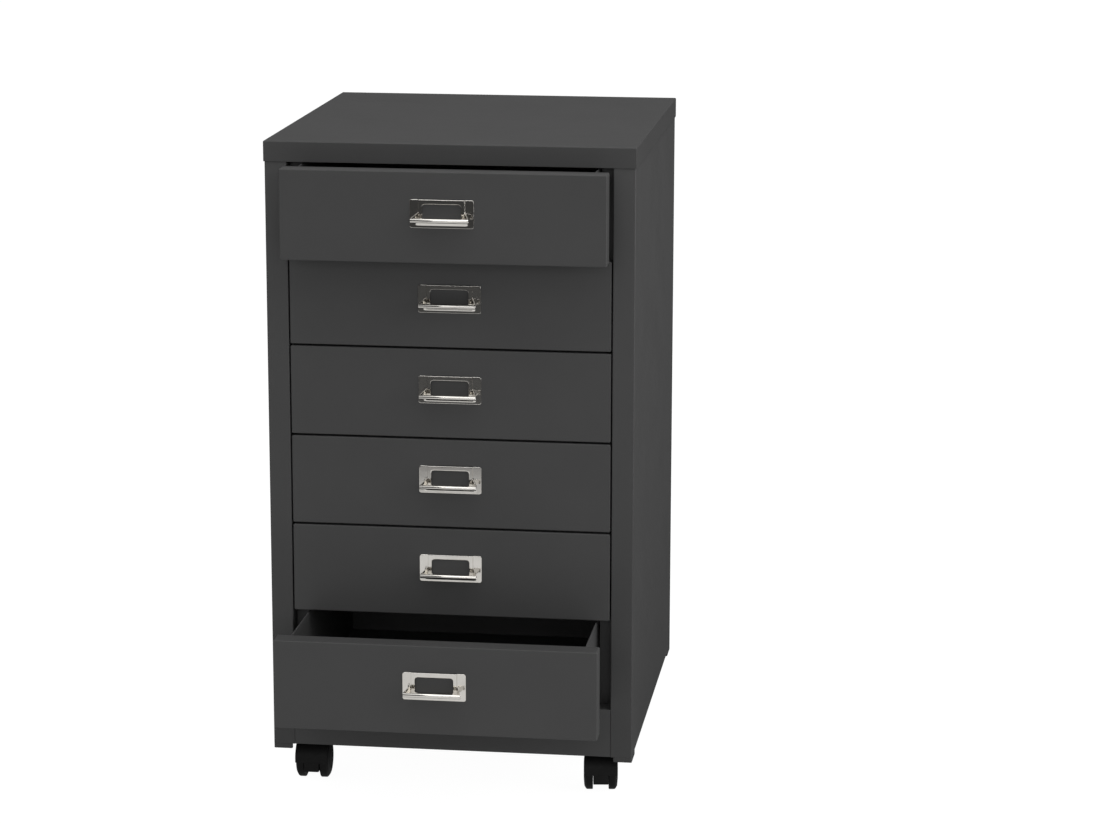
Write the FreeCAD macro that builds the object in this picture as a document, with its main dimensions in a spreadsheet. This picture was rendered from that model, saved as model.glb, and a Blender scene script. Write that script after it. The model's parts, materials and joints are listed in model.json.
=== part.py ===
import FreeCAD, Part
import math
import os
import Sketcher
from FreeCAD import Placement, Rotation, Vector

# Small steel drawer cabinet on four twin-wheel castors: a folded carcass with
# a lid, six drawers on angle runners, and a pressed label pull on each front.
# X runs to the right, Y into the depth, Z up. The floor is Z = 0. The origin
# lies under the middle of the whole thing as it stands, pulled drawers included.

DRAWERS = 6
ROWS = range(1, DRAWERS + 1)
LEFT, RIGHT = -1, 1

# Sizes in millimetres
sizes = {
    # carcass
    "cabinetWidth": 370.0,
    "cabinetDepth": 410.0,
    "cabinetHeight": 620.0,
    "floorClearance": 43.0,
    "sheetThickness": 0.8,
    "panelGap": 0.2,
    "bendRadius": 1.0,
    "capSkirt": 20.4,
    "postWidth": 22.0,
    "jambDepth": 20.4,
    "stopFlange": 13.4,
    "rearReturn": 22.0,
    "railHeight": 50.0,
    "railFoot": 14.0,
    "floorFlange": 12.0,
    # drawer fronts and trays
    "frontGap": 2.0,
    "frontSideGap": 1.3,
    "closedGap": 0.4,
    "frontCorner": 0.9,
    "faceChamfer": 0.7,
    "weldLap": 10.0,
    "traySideGap": 1.1,
    "trayDepth": 322.0,
    "trayLift": 3.0,
    "trayTopDrop": 1.0,
    "hemHeight": 6.0,
    "drawerTravel": 255.0,
    "firstDrawerOpen": 44.0,
    "lastDrawerOpen": 105.0,
    # runners and their stops
    "runnerSheet": 1.0,
    "runnerFloat": 0.3,
    "ledgeWidth": 10.0,
    "guideHeight": 3.0,
    "guideGap": 0.5,
    "runnerFlange": 12.0,
    "stopEarWidth": 9.0,
    "stopEarDrop": 4.5,
    "stopTabDrop": 4.0,
    "stopTabInset": 1.5,
    "stopGap": 0.5,
    # label pull
    "pullWidth": 63.0,
    "pullHeight": 28.0,
    "pullCorner": 1.6,
    "pullLift": 4.0,
    "pullSheet": 0.8,
    "pocketWidth": 46.0,
    "pocketRaise": 1.2,
    "pocketFoot": 2.4,
    "footSlope": 2.8,
    "windowWidth": 38.0,
    "windowHeight": 16.0,
    "windowTopEdge": 4.5,
    "windowCorner": 3.0,
    "pullReach": 18.0,
    "beadRadius": 2.2,
    "beadWidth": 56.6,
    "lipRise": 5.7,
    "lipEdge": 1.5,
    "wingRootWidth": 51.0,
    "wingTop": 1.3,
    "tabHeight": 8.0,
    "tabInset": 4.0,
    "tabFoot": 4.0,
    "tabGap": 0.1,
    # castors
    "castorInset": 36.0,
    "castorSetback": 40.0,
    "castorRecess": 9.0,
    "wheelRadius": 20.0,
    "wheelWidth": 9.4,
    "wheelGap": 0.3,
    "webWidth": 15.4,
    "castorTrail": 11.0,
    "bossRadius": 9.5,
    "hoodGap": 1.2,
    "hoodWall": 1.8,
    "hoodInset": 0.7,
    "neckRadius": 7.5,
    "neckGap": 0.4,
    "axleRadius": 2.5,
    "axleFit": 0.05,
    "axleEndWall": 1.2,
    "stemRadius": 4.0,
    "stemBelow": 14.0,
    "stemAbove": 9.0,
    "stemEndGap": 0.5,
    "collarRadius": 8.1,
    "collarHeight": 2.0,
    # fasteners
    "holeGap": 0.2,
    "nutRadius": 7.5,
    "nutHeight": 6.5,
    "threadGap": 0.05,
    # plastic feet on the lower corners
    "footFront": 19.0,
    "footSide": 30.0,
    "footWall": 4.0,
    "footDrop": 5.0,
    "footUpstand": 6.0,
    "footUpstandWall": 2.4,
    "footGap": 0.2,
    # one overrun for every through cut
    "overrun": 2.0,
}

# How far each castor is turned about its pin, in degrees
castor_turns = {
    "left_front": 181.0,
    "right_front": 187.0,
    "left_rear": 176.0,
    "right_rear": 191.0,
}
HOOD_FROM, HOOD_TO, HOOD_FACETS = 22.0, 160.0, 12
FULL_TURN = 360.0
HEX_SIDES = 6

doc = FreeCAD.newDocument("DrawerCabinet")
sheet = doc.addObject("Spreadsheet::Sheet", "Sizes")
for row, (name, value) in enumerate(sizes.items(), 1):
    sheet.set("A%d" % row, name)
    sheet.set("B%d" % row, "%g" % value)
    sheet.setAlias("B%d" % row, name)
doc.recompute()


# A length knows its value and the expression that ties it to the sheet
class Length:
    def __init__(self, value, text):
        self.value = value
        self.text = text

    def __add__(self, other):
        other = as_length(other)
        return Length(self.value + other.value, "(%s + %s)" % (self.text, other.text))

    def __sub__(self, other):
        other = as_length(other)
        return Length(self.value - other.value, "(%s - %s)" % (self.text, other.text))

    def __mul__(self, share):
        return Length(self.value * share, "(%s * %.9g)" % (self.text, share))

    def __truediv__(self, count):
        return Length(self.value / count, "(%s / %.9g)" % (self.text, count))

    def __neg__(self):
        return self * -1

    __rmul__ = __mul__


def as_length(item):
    return item if isinstance(item, Length) else Length(float(item), "%g" % item)


def cell(name):
    return Length(sheet.get(name), "Sizes." + name)


NONE = as_length(0)
parts = []

# Lengths that several pieces share
wall = cell("sheetThickness")
skirtOut = wall + cell("panelGap")
bodyHalf = cell("cabinetWidth") / 2 - skirtOut
bodyDepth = cell("cabinetDepth") - skirtOut * 2
openingHalf = bodyHalf - cell("postWidth")
stopTip = openingHalf - cell("stopFlange")
trayHalf = stopTip - cell("traySideGap")
postBottom = cell("floorClearance")
postTop = postBottom + cell("cabinetHeight") - wall
railTop = postBottom + cell("railHeight")
drawerPitch = (cell("cabinetHeight") - cell("capSkirt") - cell("railHeight")) / DRAWERS
frontHeight = drawerPitch - cell("frontGap")
frontHalf = openingHalf - cell("frontSideGap")
frontDepth = cell("jambDepth") - cell("closedGap")
trayHeight = frontHeight - cell("trayLift") - cell("trayTopDrop")
backPanelFront = bodyDepth - wall * 2
stopBack = cell("jambDepth") + wall
floorUnder = postBottom + cell("castorRecess")
floorTop = floorUnder + wall
frontPlane = (cell("lastDrawerOpen") + cell("pullReach") - bodyDepth - skirtOut) / 2
drawerOpen = {1: cell("firstDrawerOpen"), DRAWERS: cell("lastDrawerOpen")}


def drawer_bottom(row):
    return railTop + drawerPitch * (DRAWERS - row) + cell("frontGap") / 2


# Tying objects to the sheet
def bind(item, path, length):
    item.setExpression(path, length.text)


def put(item, across, back, up, turn=None):
    item.Placement = Placement(Vector(across.value, back.value, up.value), turn or Rotation())
    bind(item, "Placement.Base.x", across)
    bind(item, "Placement.Base.y", back)
    bind(item, "Placement.Base.z", up)


def keep(item, label):
    item.Label = label
    parts.append(item)
    return item


# Sketches and the features made from them
def new_body(label, across=NONE, back=NONE, up=NONE, turn=None):
    body = keep(doc.addObject("PartDesign::Body", "Body"), label)
    put(body, across, frontPlane + back, up, turn)
    return body


def new_sketch(body, role, offset=None):
    sketch = body.newObject("Sketcher::SketchObject", "Sketch")
    plane = next(item for item in body.Origin.OriginFeatures if item.Role == role)
    sketch.AttachmentSupport = [(plane, "")]
    sketch.MapMode = "FlatFace"
    if offset is not None:
        bind(sketch, "AttachmentOffset.Base.z", offset)
    return sketch


def tie(sketch, kind, line, point, length):
    index = sketch.addConstraint(Sketcher.Constraint(kind, -1, 1, line, point, length.value))
    bind(sketch, "Constraints[%d]" % index, length)


def draw_outline(sketch, points):
    first = sketch.GeometryCount
    places = [Vector(as_length(a).value, as_length(b).value, 0) for a, b in points]
    count = len(points)
    for index in range(count):
        line = Part.LineSegment(places[index], places[(index + 1) % count])
        sketch.addGeometry(line, False)
    for index in range(count):
        after = first + (index + 1) % count
        sketch.addConstraint(Sketcher.Constraint("Coincident", first + index, 2, after, 1))
    for index, (across, up) in enumerate(points):
        tie(sketch, "DistanceX", first + index, 1, as_length(across))
        tie(sketch, "DistanceY", first + index, 1, as_length(up))


def draw_rectangle(sketch, left, low, right, high):
    draw_outline(sketch, [(left, low), (right, low), (right, high), (left, high)])


def draw_circle(sketch, across, up, radius):
    across, up = as_length(across), as_length(up)
    centre = Vector(across.value, up.value, 0)
    index = sketch.addGeometry(Part.Circle(centre, Vector(0, 0, 1), radius.value), False)
    tie(sketch, "DistanceX", index, 3, across)
    tie(sketch, "DistanceY", index, 3, up)
    limit = sketch.addConstraint(Sketcher.Constraint("Radius", index, radius.value))
    bind(sketch, "Constraints[%d]" % limit, radius)


def pad(body, sketch, length, middle=False, reverse=False):
    feature = body.newObject("PartDesign::Pad", "Pad")
    feature.Profile = sketch
    feature.Midplane = middle
    feature.Reversed = reverse
    bind(feature, "Length", length)
    doc.recompute()
    return feature


def pocket(body, sketch, length, middle=False, reverse=False):
    before = body.Shape.Volume
    feature = body.newObject("PartDesign::Pocket", "Pocket")
    feature.Profile = sketch
    feature.Midplane = middle
    feature.Reversed = reverse
    bind(feature, "Length", length)
    doc.recompute()
    if body.Shape.Volume >= before:
        raise RuntimeError("a pocket of %s cuts nothing" % body.Label)
    return feature


def edges_where(feature, test):
    names = []
    for index, edge in enumerate(feature.Shape.Edges, 1):
        if len(edge.Vertexes) == 2 and test(edge.Vertexes[0].Point, edge.Vertexes[1].Point):
            names.append("Edge%d" % index)
    return names


def soften(body, kind, path, feature, size, test):
    softened = body.newObject(kind, "Edges")
    softened.Base = (feature, edges_where(feature, test))
    bind(softened, path, size)
    doc.recompute()
    if "Invalid" in softened.State:
        raise RuntimeError("the edges of %s can't be softened" % body.Label)
    return softened


def fillet(body, feature, radius, test):
    return soften(body, "PartDesign::Fillet", "Radius", feature, radius, test)


def chamfer(body, feature, size, test):
    return soften(body, "PartDesign::Chamfer", "Size", feature, size, test)


NEAR = 1e-4


def same(a, b):
    return abs(a - as_length(b).value) < NEAR


# Folded lid: a shallow inverted pan whose skirt laps over the panels
def make_top_cap():
    half = cell("cabinetWidth") / 2
    body = new_body("top_cap", up=postTop + wall)
    outer = new_sketch(body, "XY_Plane")
    draw_rectangle(outer, -half, -skirtOut, half, bodyDepth + skirtOut)
    shell = pad(body, outer, cell("capSkirt"), reverse=True)
    inner = new_sketch(body, "XY_Plane", -wall)
    draw_rectangle(inner, wall - half, wall - skirtOut, half - wall, bodyDepth + skirtOut - wall)
    shell = pocket(body, inner, cell("capSkirt"))

    def fold(start, end):
        return same(start.z, 0) and same(end.z, 0)

    fillet(body, shell, cell("bendRadius"), fold)


# Side of the carcass in one sheet: stop flange, jamb, front post, wall, rear return
def make_side_panel(side, label):
    tip, jamb, outside = stopTip * side, openingHalf * side, bodyHalf * side
    inward = wall * -side
    rear = outside - cell("rearReturn") * side
    body = new_body(label, up=postBottom)
    fold = new_sketch(body, "XY_Plane")
    draw_outline(fold, [
        (tip, cell("jambDepth")), (jamb, cell("jambDepth")), (jamb, NONE),
        (outside, NONE), (outside, bodyDepth), (rear, bodyDepth),
        (rear, bodyDepth - wall), (outside + inward, bodyDepth - wall),
        (outside + inward, wall), (jamb - inward, wall),
        (jamb - inward, stopBack), (tip, stopBack)])
    panel = pad(body, fold, postTop - postBottom)

    def outer_bend(start, end):
        at_front = same(start.y, 0) and (same(start.x, outside) or same(start.x, jamb))
        at_rear = same(start.y, bodyDepth) and same(start.x, outside)
        return not same(start.z, end.z) and (at_front or at_rear)

    fillet(body, panel, cell("bendRadius"), outer_bend)


# Flat sheet behind, spot welded to the rear returns of the sides
def make_back_panel():
    half = bodyHalf - wall
    body = new_body("back_panel", back=backPanelFront + wall, up=postBottom)
    face = new_sketch(body, "XZ_Plane")
    draw_rectangle(face, -half, NONE, half, postTop - postBottom)
    pad(body, face, wall)


def castor_corners():
    corners = {}
    for side, across in (("left", LEFT), ("right", RIGHT)):
        for end in ("front", "rear"):
            back = cell("castorSetback") if end == "front" else bodyDepth - cell("castorSetback")
            corners["%s_%s" % (side, end)] = ((bodyHalf - cell("castorInset")) * across, back)
    return corners


# Floor of the carcass: a pan with upturned flanges that carries the castors
def make_bottom_panel():
    half = bodyHalf - wall
    body = new_body("bottom_panel", up=floorUnder)
    outer = new_sketch(body, "XY_Plane")
    draw_rectangle(outer, -half, stopBack, half, backPanelFront)
    pad(body, outer, cell("floorFlange"))
    inner = new_sketch(body, "XY_Plane", cell("floorFlange") + cell("overrun"))
    draw_rectangle(inner, wall - half, stopBack + wall, half - wall, backPanelFront - wall)
    pocket(body, inner, cell("floorFlange") + cell("overrun") - wall)
    holes = new_sketch(body, "XY_Plane", wall / 2)
    for across, back in castor_corners().values():
        draw_circle(holes, across, back, cell("stemRadius") + cell("holeGap"))
    pocket(body, holes, wall + cell("overrun"), middle=True)


# Channel under the lowest drawer, flush with the posts
def make_front_rail():
    depth = cell("jambDepth")
    high = cell("railHeight")
    body = new_body("bottom_front_rail", up=postBottom)
    section = new_sketch(body, "YZ_Plane")
    draw_outline(section, [
        (NONE, NONE), (cell("railFoot"), NONE), (cell("railFoot"), wall), (wall, wall),
        (wall, high - wall), (depth, high - wall), (depth, high), (NONE, high)])
    rail = pad(body, section, openingHalf * 2, middle=True)

    def front_bend(start, end):
        return same(start.y, 0) and same(end.y, 0) and same(start.z, end.z)

    fillet(body, rail, cell("bendRadius"), front_bend)


# Angle runner: a ledge under the tray, a low guide beside it, a flange on the panel
def make_runner(side, row, label):
    sheet_ = cell("runnerSheet")
    tip = (trayHalf - cell("ledgeWidth")) * side
    guide = (trayHalf + cell("guideGap")) * side
    outside = (bodyHalf - wall) * side
    inward = sheet_ * -side
    top = drawer_bottom(row) + cell("trayLift") - cell("runnerFloat")
    body = new_body(label, back=stopBack, up=top)
    section = new_sketch(body, "XZ_Plane")
    draw_outline(section, [
        (tip, NONE), (guide, NONE), (guide, cell("guideHeight")),
        (guide - inward, cell("guideHeight")), (guide - inward, NONE), (outside, NONE),
        (outside, -cell("runnerFlange")), (outside + inward, -cell("runnerFlange")),
        (outside + inward, -sheet_), (tip, -sheet_)])
    pad(body, section, backPanelFront - stopBack, reverse=True)
    ear_back = frontDepth + cell("trayDepth") - wall - cell("drawerTravel") - cell("stopGap")
    ear = new_sketch(body, "XZ_Plane", stopBack - ear_back)
    far, near = tip - cell("stopEarWidth") * side, tip + sheet_ * side
    left, right = (far, near) if side > 0 else (near, far)
    draw_rectangle(ear, left, -cell("stopEarDrop"), right, NONE)
    pad(body, ear, sheet_)


# Drawer front: a folded pan, open behind between its two return flanges
def make_drawer_front(row):
    half, deep = frontHalf, frontDepth
    lap = trayHalf - cell("weldLap")
    body = new_body("drawer_%d_front" % row, back=-drawerOpen.get(row, NONE), up=drawer_bottom(row))
    fold = new_sketch(body, "XY_Plane")
    draw_outline(fold, [
        (-half, NONE), (half, NONE), (half, deep), (lap, deep), (lap, deep - wall),
        (half - wall, deep - wall), (half - wall, wall), (wall - half, wall),
        (wall - half, deep - wall), (-lap, deep - wall), (-lap, deep), (-half, deep)])
    pad(body, fold, frontHeight)
    for offset in (NONE, frontHeight - wall):
        plate = new_sketch(body, "XY_Plane", offset)
        draw_rectangle(plate, -half, NONE, half, deep)
        front = pad(body, plate, wall)

    def corner(start, end):
        at_side = same(abs(start.x), half) and same(abs(end.x), half)
        at_end = same(start.z, end.z) and (same(start.z, 0) or same(start.z, frontHeight))
        return at_side and at_end and not same(start.y, end.y)

    front = chamfer(body, front, cell("frontCorner"), corner)

    def face_edge(start, end):
        return same(start.y, 0) and same(end.y, 0)

    chamfer(body, front, cell("faceChamfer"), face_edge)
    slots = new_sketch(body, "XZ_Plane", -wall / 2)
    middle = frontHeight / 2 + cell("pullLift")
    for side in (LEFT, RIGHT):
        near, far = tab_place() - cell("tabGap"), tab_place() + cell("pullSheet") + cell("tabGap")
        left, right = (near * side, far * side) if side > 0 else (far * side, near * side)
        reach = cell("tabHeight") / 2 + cell("tabGap")
        draw_rectangle(slots, left, middle - reach, right, middle + reach)
    pocket(body, slots, wall + cell("overrun"), middle=True)


# Where a pull's tab stands, from the middle of its plate
def tab_place():
    return cell("pullWidth") / 2 - cell("tabInset") - cell("pullSheet")


# Tray: floor, four walls with a folded hem, and two stop tabs under its rear edge
def make_tray(row):
    back = frontDepth - drawerOpen.get(row, NONE)
    body = new_body("drawer_%d_tray" % row, back=back, up=drawer_bottom(row) + cell("trayLift"))
    floor = new_sketch(body, "XY_Plane")
    draw_rectangle(floor, -trayHalf, NONE, trayHalf, cell("trayDepth"))
    pad(body, floor, wall)

    def ring(offset, inset, high):
        frame = new_sketch(body, "XY_Plane", offset)
        for step in (inset, inset + wall):
            draw_rectangle(frame, step - trayHalf, step, trayHalf - step, cell("trayDepth") - step)
        pad(body, frame, high)

    ring(NONE, NONE, trayHeight)
    ring(trayHeight - cell("hemHeight"), wall, cell("hemHeight"))
    tabs = new_sketch(body, "XZ_Plane", -cell("trayDepth"))
    for side in (LEFT, RIGHT):
        near = trayHalf - cell("ledgeWidth") - cell("stopTabInset")
        far = near - cell("stopEarWidth") + cell("stopTabInset") * 2
        left, right = (far * side, near * side) if side > 0 else (near * side, far * side)
        draw_rectangle(tabs, left, -cell("stopTabDrop"), right, wall)
    pad(body, tabs, wall)


# Finger scoop: a floor that widens and climbs to the bead, between two wings
def make_scoop(body, root, bead_out, bead_up):
    skin, tip = cell("pullSheet"), cell("wingTop")
    begin, under = -skin / 2, root - skin
    narrow, wide = cell("wingRootWidth") / 2, cell("beadWidth") / 2

    def cut_wedge(*corners):
        wedge = new_sketch(body, "YZ_Plane")
        draw_outline(wedge, corners)
        pocket(body, wedge, wide * 2, middle=True)

    floor = new_sketch(body, "XY_Plane", under)
    draw_outline(floor, [(-narrow, begin), (narrow, begin), (wide, bead_out), (-wide, bead_out)])
    pad(body, floor, bead_up - under)
    cut_wedge((begin, root), (bead_out, bead_up), (begin, bead_up))
    wings = new_sketch(body, "XY_Plane", under)
    for side in (LEFT, RIGHT):
        draw_outline(wings, [
            ((narrow - skin) * side, begin), (narrow * side, begin),
            (wide * side, bead_out), ((wide - skin) * side, bead_out)])
    pad(body, wings, tip - under)
    cut_wedge((begin, tip), (bead_out, bead_up + cell("beadRadius")), (bead_out, tip))
    cut_wedge((begin, under), (bead_out, bead_up - skin), (bead_out, under))


# Label pull pressed from one sheet: plate, raised card pocket with its window,
# finger scoop that widens to a rolled bead, and two tabs through the front
def make_pull(row):
    half, tall = cell("pullWidth") / 2, cell("pullHeight") / 2
    skin = cell("pullSheet")
    pocket_half = cell("pocketWidth") / 2
    face = cell("pocketRaise") + skin
    up = drawer_bottom(row) + frontHeight / 2 + cell("pullLift")
    body = new_body("drawer_%d_pull" % row, back=-drawerOpen.get(row, NONE), up=up)
    side, top = cell("windowWidth") / 2, tall - cell("windowTopEdge")
    root = top - cell("windowHeight") - cell("lipEdge")
    bead = cell("beadRadius")
    bead_out, bead_up = bead - cell("pullReach"), root + cell("lipRise") - bead
    make_scoop(body, root, bead_out, bead_up)
    outline = new_sketch(body, "XZ_Plane")
    draw_rectangle(outline, -half, -tall, half, tall)
    plate = pad(body, outline, skin)

    def corner(start, end):
        return not same(start.y, end.y) and same(abs(start.x), half)

    chamfer(body, plate, cell("pullCorner"), corner)
    low, high = cell("pocketFoot") - tall, cell("pocketFoot") + cell("footSlope") - tall
    raised = new_sketch(body, "YZ_Plane")
    draw_outline(raised, [(NONE, low), (-skin, low), (-face, high), (-face, tall), (NONE, tall)])
    pad(body, raised, pocket_half * 2, middle=True)
    above = tall + cell("overrun")
    hollow = new_sketch(body, "YZ_Plane")
    draw_outline(hollow, [
        (NONE, low + skin), (-cell("pocketRaise"), high + skin),
        (-cell("pocketRaise"), above), (NONE, above)])
    pocket(body, hollow, (pocket_half - skin) * 2, middle=True)
    window = new_sketch(body, "XZ_Plane")
    draw_rectangle(window, -side, top - cell("windowHeight"), side, top)
    cut = pocket(body, window, (face + cell("overrun")) * 2, middle=True)

    def window_corner(start, end):
        return not same(start.y, end.y) and same(abs(start.x), side)

    fillet(body, cut, cell("windowCorner"), window_corner)
    roll = new_sketch(body, "YZ_Plane")
    draw_circle(roll, bead_out, bead_up, bead)
    pad(body, roll, cell("beadWidth"), middle=True)
    for side in (LEFT, RIGHT):
        tab = new_sketch(body, "XZ_Plane", skin / 2)
        near, far = tab_place(), tab_place() + skin
        left, right = (near * side, far * side) if side > 0 else (far * side, near * side)
        reach = cell("tabHeight") / 2
        draw_rectangle(tab, left, -reach, right, reach)
        pad(body, tab, skin / 2 + wall + cell("tabGap") + skin, reverse=True)
        foot = new_sketch(body, "XZ_Plane", -wall - cell("tabGap"))
        end = far + cell("tabFoot")
        left, right = (near * side, end * side) if side > 0 else (end * side, near * side)
        draw_rectangle(foot, left, -reach, right, reach)
        pad(body, foot, skin, reverse=True)


# Castors: a threaded stem with a hex collar, and a hooded body that turns on it
def castor_body(label, corner):
    across, back = castor_corners()[corner]
    turn = Rotation(Vector(0, 0, 1), castor_turns[corner])
    return new_body(label, across, back, NONE, turn)


def make_castor_stem(corner):
    body = new_body("%s_castor_stem" % corner, *castor_corners()[corner])
    collar = new_sketch(body, "XY_Plane", floorUnder)
    radius = cell("collarRadius")
    draw_outline(collar, [
        (radius * math.cos(math.radians(angle)), radius * math.sin(math.radians(angle)))
        for angle in range(0, round(FULL_TURN), round(FULL_TURN / HEX_SIDES))])
    pad(body, collar, cell("collarHeight"), reverse=True)
    for reach, down in ((cell("stemAbove"), False), (cell("stemBelow") + cell("collarHeight"), True)):
        pin = new_sketch(body, "XY_Plane", floorUnder)
        draw_circle(pin, NONE, NONE, cell("stemRadius"))
        pad(body, pin, reach, reverse=down)


# Hooded body: a web between the wheels, a curved hood over them and the neck
def make_castor_body(corner):
    trail, axle_up = cell("castorTrail"), cell("wheelRadius")
    inner = cell("wheelRadius") + cell("hoodGap")
    outer = inner + cell("hoodWall")
    wide = cell("webWidth") + (cell("wheelGap") + cell("wheelWidth") - cell("hoodInset")) * 2
    collar_low = floorUnder - cell("collarHeight")
    neck_top = collar_low - cell("neckGap")
    body = castor_body("%s_castor_body" % corner, corner)
    web = new_sketch(body, "YZ_Plane")
    draw_sector(web, outer)
    pad(body, web, cell("webWidth"), middle=True)
    boss = new_sketch(body, "YZ_Plane")
    draw_circle(boss, trail, axle_up, cell("bossRadius"))
    pad(body, boss, cell("webWidth"), middle=True)
    roof = new_sketch(body, "YZ_Plane")
    draw_sector(roof, outer, inner)
    pad(body, roof, wide, middle=True)
    neck = new_sketch(body, "XY_Plane", axle_up + cell("bossRadius"))
    draw_circle(neck, NONE, NONE, cell("neckRadius"))
    pad(body, neck, neck_top - axle_up - cell("bossRadius"))
    bore = new_sketch(body, "XY_Plane", neck_top + cell("overrun"))
    draw_circle(bore, NONE, NONE, cell("stemRadius") + cell("axleFit"))
    stem_end = collar_low - cell("stemBelow") - cell("stemEndGap")
    pocket(body, bore, neck_top + cell("overrun") - stem_end)
    axle_bore = new_sketch(body, "YZ_Plane")
    draw_circle(axle_bore, trail, axle_up, cell("axleRadius") + cell("axleFit") / 2)
    pocket(body, axle_bore, wide, middle=True)


# Sector of a ring about the axle, or of a disc where no inner radius is given
def draw_sector(sketch, outer, inner=None):
    step = (HOOD_TO - HOOD_FROM) / HOOD_FACETS
    turns = [math.radians(HOOD_FROM + step * index) for index in range(HOOD_FACETS + 1)]
    across, up = cell("castorTrail"), cell("wheelRadius")

    def arc(radius, angles):
        return [(across + radius * math.cos(turn), up + radius * math.sin(turn)) for turn in angles]

    closing = [(across, up)] if inner is None else arc(inner, reversed(turns))
    draw_outline(sketch, arc(outer, turns) + closing)


def make_axle(corner):
    body = castor_body("%s_castor_axle" % corner, corner)
    rod = new_sketch(body, "YZ_Plane")
    draw_circle(rod, cell("castorTrail"), cell("wheelRadius"), cell("axleRadius"))
    in_wheel = cell("wheelWidth") - cell("axleEndWall")
    pad(body, rod, cell("webWidth") + in_wheel * 2, middle=True)


# Wheel: turned about the axle, with a blind bore from inside
def make_wheel(corner, side, label):
    trail, axle_up = cell("castorTrail"), cell("wheelRadius")
    near = cell("webWidth") / 2 + cell("wheelGap")
    far = near + cell("wheelWidth")
    rim = cell("wheelRadius")
    bore = cell("axleRadius") + cell("axleFit")
    body = castor_body(label, corner)
    profile = new_sketch(body, "XZ_Plane", -trail)
    bind(profile, "AttachmentOffset.Base.y", axle_up)
    points = [
        (near, bore), (near, rim), (far, rim), (far, NONE),
        (far - cell("axleEndWall"), NONE), (far - cell("axleEndWall"), bore)]
    draw_outline(profile, [(across * side, -radius) for across, radius in points])
    turned = body.newObject("PartDesign::Revolution", "Revolution")
    turned.Profile = profile
    turned.ReferenceAxis = (profile, ["H_Axis"])
    turned.Angle = FULL_TURN
    doc.recompute()


# Groups of like fasteners and feet, from plain solids
def solid(kind, place, turn=None, **lengths):
    item = doc.addObject(kind, "Solid")
    for name, length in lengths.items():
        bind(item, name, length)
    across, back, up = place
    put(item, across, frontPlane + back, up, turn)
    return item


def joined(kind, base, tool):
    item = doc.addObject(kind, "Joined")
    item.Base = base
    item.Tool = tool
    return item


def group(label, items):
    item = keep(doc.addObject("Part::Compound", "Group"), label)
    item.Links = items
    return item


def make_castor_nuts():
    nuts = []
    for across, back in castor_corners().values():
        blank = solid("Part::Prism", (across, back, floorTop),
                      Circumradius=cell("nutRadius"), Height=cell("nutHeight"))
        hole = solid("Part::Cylinder", (across, back, floorTop - cell("overrun")),
                     Radius=cell("stemRadius") + cell("threadGap"),
                     Height=cell("nutHeight") + cell("overrun") * 2)
        nuts.append(joined("Part::Cut", blank, hole))
    group("castor_nuts", nuts)


# Plastic shoes that hug the folded corners, each with an upstand inside the panel
def make_corner_feet():
    low = postBottom - cell("footDrop")
    feet = []
    for side in (LEFT, RIGHT):
        for front in (True, False):
            def span(length):
                start = bodyHalf - length
                return start if side > 0 else -bodyHalf

            def start_back(length):
                return NONE if front else bodyDepth - length

            leg = solid("Part::Box", (span(cell("footFront")), start_back(cell("footWall")), low),
                        Length=cell("footFront"), Width=cell("footWall"), Height=cell("footDrop"))
            run = solid("Part::Box", (span(cell("footWall")), start_back(cell("footSide")), low),
                        Length=cell("footWall"), Width=cell("footSide"), Height=cell("footDrop"))
            thick = cell("footUpstandWall")
            inset = wall + cell("footGap")
            inner = bodyHalf - inset - thick if side > 0 else inset - bodyHalf
            begin = inset if front else bodyDepth - cell("footSide")
            end = cell("footSide") if front else backPanelFront - cell("footGap")
            upstand = solid("Part::Box", (inner, begin, postBottom),
                            Length=thick, Width=end - begin, Height=cell("footUpstand"))
            feet.append(joined("Part::Fuse", joined("Part::Fuse", leg, run), upstand))
    group("corner_feet", feet)


make_top_cap()
make_side_panel(LEFT, "left_side_panel")
make_side_panel(RIGHT, "right_side_panel")
make_back_panel()
make_bottom_panel()
make_front_rail()
for row in ROWS:
    make_runner(LEFT, row, "left_runner_%d" % row)
    make_runner(RIGHT, row, "right_runner_%d" % row)
for row in ROWS:
    make_drawer_front(row)
    make_tray(row)
    make_pull(row)
for corner in castor_turns:
    make_castor_stem(corner)
    make_castor_body(corner)
    make_axle(corner)
    make_wheel(corner, LEFT, "%s_left_wheel" % corner)
    make_wheel(corner, RIGHT, "%s_right_wheel" % corner)
make_castor_nuts()
make_corner_feet()
doc.recompute()

# Every object has to be sound before a file is written
for item in doc.Objects:
    if "Invalid" in item.State or "Error" in item.State:
        raise RuntimeError("%s (%s) failed: %s" % (item.Name, item.Label, item.State))
for part in parts:
    if part.Shape.isNull() or not part.Shape.isValid():
        raise RuntimeError("%s has no sound shape" % part.Label)

os.makedirs("parts", exist_ok=True)
for part in parts:
    part.Shape.exportStep("parts/%s.step" % part.Label)
    print("%-28s %d solid(s) %12.1f mm3" % (part.Label, len(part.Shape.Solids), part.Shape.Volume))
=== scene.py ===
import json
import math

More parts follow.
